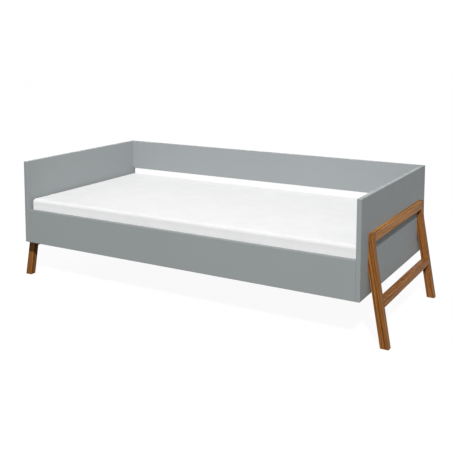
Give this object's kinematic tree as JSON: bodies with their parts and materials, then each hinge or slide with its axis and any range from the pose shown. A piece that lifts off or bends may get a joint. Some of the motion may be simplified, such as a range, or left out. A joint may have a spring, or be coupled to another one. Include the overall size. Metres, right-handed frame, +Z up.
{
  "type": "kids bed",
  "caption": "Low child's bed with grey lacquered end panels, open front, raised back board, slatted base, loose mattress and leaning stained-wood leg trestles.",
  "frame": {"origin": "on the floor, in the middle of the bed's outline", "axes": "+X from the head end to the foot end, +Y from the open front to the rear, +Z up"},
  "size_m": [1.8178, 0.846, 0.574],
  "materials": {
    "grey_lacquer": "satin",
    "stained_wood": "satin",
    "pine": "matte",
    "beech": "matte",
    "zinc": "satin",
    "steel": "satin",
    "webbing": "matte",
    "mattress_fabric": "matte"
  },
  "bodies": {
    "bed_frame": {"back_panel": "grey_lacquer", "cam_bolts": "steel", "cam_housings": "zinc", "corner_dowels": "beech", "foot_leg_front": "stained_wood", "foot_leg_rear": "stained_wood", "foot_panel": "grey_lacquer", "foot_stretcher": "stained_wood", "foot_top_rail": "stained_wood", "front_ledger": "pine", "front_rail": "grey_lacquer", "front_slat_tape": "webbing", "head_leg_front": "stained_wood", "head_leg_rear": "stained_wood", "head_panel": "grey_lacquer", "head_stretcher": "stained_wood", "head_top_rail": "stained_wood", "ledger_screws": "steel", "leg_bolts": "steel", "leg_dowels": "beech", "leg_inserts": "steel", "rear_ledger": "pine", "rear_rail": "grey_lacquer", "rear_slat_tape": "webbing", "slat_01": "pine", "slat_02": "pine", "slat_03": "pine", "slat_04": "pine", "slat_05": "pine", "slat_06": "pine", "slat_07": "pine", "slat_08": "pine", "slat_09": "pine", "slat_10": "pine", "slat_11": "pine", "slat_12": "pine", "slat_13": "pine", "slat_14": "pine", "slat_screws": "steel"},
    "mattress": {"mattress": "mattress_fabric"}
  },
  "joints": [
    {"name": "mattress_lift", "type": "slide", "parent": "bed_frame", "child": "mattress", "axis": [0, 0, 1], "range_m": [0, 0.3]}
  ]
}
